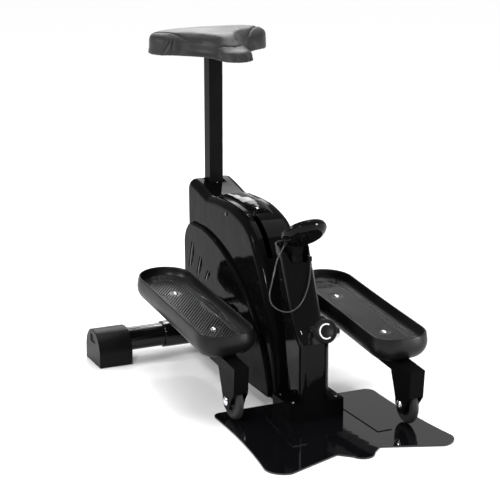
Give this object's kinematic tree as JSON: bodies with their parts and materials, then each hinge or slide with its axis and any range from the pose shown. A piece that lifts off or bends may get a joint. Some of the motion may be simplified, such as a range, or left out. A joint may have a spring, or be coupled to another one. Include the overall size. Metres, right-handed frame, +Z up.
{
  "type": "seated stepper",
  "caption": "Under-desk stepper with saddle seat on a sliding post, two foot trays on a belt-driven crank with a magnetic flywheel, and a round display on a tower.",
  "frame": {"origin": "centre of the bounding box's footprint on the floor", "axes": "+X to the user's left, +Y to the rear where the user sits, +Z up"},
  "size_m": [0.5568, 0.78, 0.678],
  "materials": {
    "gloss_black": "high gloss black moulded ABS",
    "satin_black": "satin black moulded plastic",
    "tray_grey": "satin charcoal moulded plastic with fine grain",
    "plate_paint": "gloss black powder coat",
    "frame_paint": "gloss black powder coat",
    "post_paint": "satin dark grey powder coat",
    "fork_paint": "satin grey powder coat",
    "steel": "turned steel",
    "chrome": "polished chrome plate",
    "iron": "machined cast iron",
    "alloy": "cast aluminium",
    "magnet": "nickel plated magnets",
    "belt": "ribbed drive belt",
    "tyre": "dark grey soft rubber",
    "vinyl": "dark grey leather-look vinyl over foam",
    "board": "birch plywood",
    "circuit": "green circuit board",
    "window": "tinted clear window",
    "lead": "light grey cable jacket"
  },
  "bodies": {
    "frame": {"base_cover": "gloss_black", "base_plate": "plate_paint", "circuit_board": "circuit", "console_bezel": "gloss_black", "console_case": "gloss_black", "console_stem": "satin_black", "cover_screws": "steel", "crank_bearings": "steel", "crank_shell": "frame_paint", "display_window": "window", "drive_belt": "belt", "end_cap_left": "satin_black", "end_cap_right": "satin_black", "flywheel_axle": "steel", "flywheel_bracket": "steel", "front_upright": "frame_paint", "hood": "gloss_black", "housing_left": "gloss_black", "housing_right": "gloss_black", "knob_bush": "satin_black", "lead_ends": "satin_black", "main_beam": "frame_paint", "rear_stabiliser": "frame_paint", "seat_socket": "frame_paint", "sensor_lead": "lead", "side_cover_left": "gloss_black", "side_cover_right": "gloss_black", "socket_liner": "satin_black", "stabiliser_sleeve": "frame_paint", "tower_left": "gloss_black", "tower_right": "gloss_black"},
    "brake": {"brake_magnets": "magnet", "brake_shoe": "steel"},
    "crank": {"crank_arm_left": "frame_paint", "crank_arm_right": "frame_paint", "crank_axle": "steel", "drive_pulley": "alloy", "pedal_pins": "steel"},
    "flywheel": {"flywheel": "iron", "flywheel_bearings": "steel"},
    "left_pedal": {"fork_left": "fork_paint", "pedal_fasteners_left": "chrome", "pedal_tray_left": "tray_grey", "pedal_tube_left": "frame_paint"},
    "right_pedal": {"fork_right": "fork_paint", "pedal_fasteners_right": "chrome", "pedal_tray_right": "tray_grey", "pedal_tube_right": "frame_paint"},
    "height_pin": {"height_pin": "satin_black"},
    "knob": {"knob_shaft": "steel", "tension_knob": "satin_black"},
    "button": {"mode_button": "satin_black"},
    "seat": {"seat_board": "board", "seat_bolts": "chrome", "seat_cushion": "vinyl", "seat_post": "post_paint"},
    "left_wheel": {"wheel_hub_left": "satin_black", "wheel_tyre_left": "tyre"},
    "right_wheel": {"wheel_hub_right": "satin_black", "wheel_tyre_right": "tyre"}
  },
  "joints": [
    {"name": "crank_spin", "type": "hinge", "parent": "frame", "child": "crank", "pos_m": [0, 0.119, 0.133], "axis": [1, 0, 0], "range_deg": [-30, 30]},
    {"name": "left_pedal_pivot", "type": "hinge", "parent": "crank", "child": "left_pedal", "pos_m": [0.1446, 0.0434, 0.133], "axis": [1, 0, 0], "range_deg": [-40, 40]},
    {"name": "right_pedal_pivot", "type": "hinge", "parent": "crank", "child": "right_pedal", "pos_m": [-0.1446, 0.1946, 0.133], "axis": [1, 0, 0], "range_deg": [-30, 30]},
    {"name": "left_wheel_spin", "type": "hinge", "parent": "left_pedal", "child": "left_wheel", "pos_m": [0.1446, -0.2665, 0.04155], "axis": [1, 0, 0], "continuous": true},
    {"name": "right_wheel_spin", "type": "hinge", "parent": "right_pedal", "child": "right_wheel", "pos_m": [-0.1446, -0.1153, 0.04155], "axis": [1, 0, 0], "continuous": true},
    {"name": "flywheel_spin", "type": "hinge", "parent": "frame", "child": "flywheel", "pos_m": [0, 0.195, 0.2], "axis": [1, 0, 0], "range_deg": [-150, 150]},
    {"name": "knob_turn", "type": "hinge", "parent": "frame", "child": "knob", "pos_m": [0, -0.216, 0.189], "axis": [0, -0.9613, 0.2756], "range_deg": [-135, 135]},
    {"name": "brake_swing", "type": "hinge", "parent": "frame", "child": "brake", "pos_m": [0, 0.13805, 0.27289], "axis": [1, 0, 0], "range_deg": [-1.2, 1.2]},
    {"name": "seat_slide", "type": "slide", "parent": "frame", "child": "seat", "axis": [0, 0, 1], "range_m": [0, 0.09]},
    {"name": "height_pin_slide", "type": "slide", "parent": "frame", "child": "height_pin", "axis": [0, 1, 0], "range_m": [0, 0.008], "stiffness_N_per_m": 300},
    {"name": "button_press", "type": "slide", "parent": "frame", "child": "button", "axis": [0, -0.6428, -0.766], "range_m": [0, 0.001], "stiffness_N_per_m": 1000}
  ],
  "couplings": [
    {"joint": "left_pedal_pivot", "follows": "crank_spin", "ratio": -1.233},
    {"joint": "right_pedal_pivot", "follows": "crank_spin", "ratio": -0.767},
    {"joint": "flywheel_spin", "follows": "crank_spin", "ratio": 4.7908},
    {"joint": "brake_swing", "follows": "knob_turn", "ratio": 0.0075}
  ]
}
